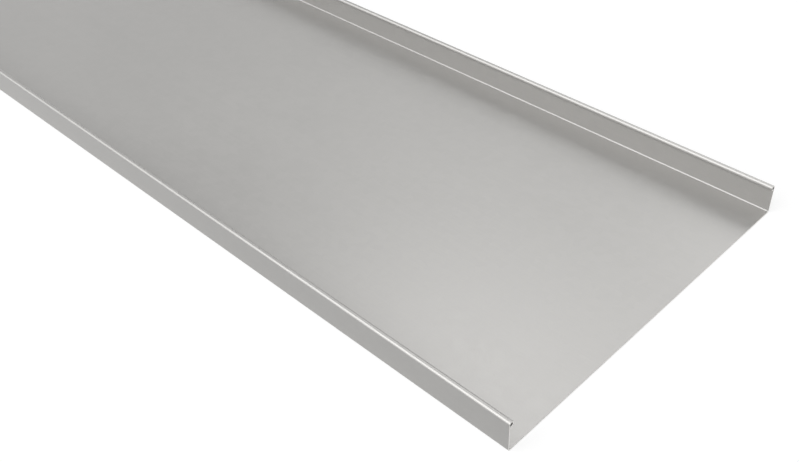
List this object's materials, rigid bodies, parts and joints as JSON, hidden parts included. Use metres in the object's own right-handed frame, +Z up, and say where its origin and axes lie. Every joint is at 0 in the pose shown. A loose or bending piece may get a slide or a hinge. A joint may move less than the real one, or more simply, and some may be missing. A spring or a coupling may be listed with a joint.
{
  "type": "solid cable tray",
  "caption": "Straight length of solid cable tray: a sheet-steel channel with a plain unperforated bed and low upright flanges, each rolled inwards in a small hem along its top edge.",
  "frame": {"origin": "middle of the underside: halfway along the tray, halfway across it, on the surface it lies on", "axes": "+X along the tray's length, +Y across it towards one flange, +Z up out of the open side"},
  "size_m": [3, 0.3, 0.025],
  "materials": {
    "zinc_coated_steel": "smooth satin zinc coating"
  },
  "bodies": {
    "root": {"tray": "zinc_coated_steel"}
  },
  "joints": []
}
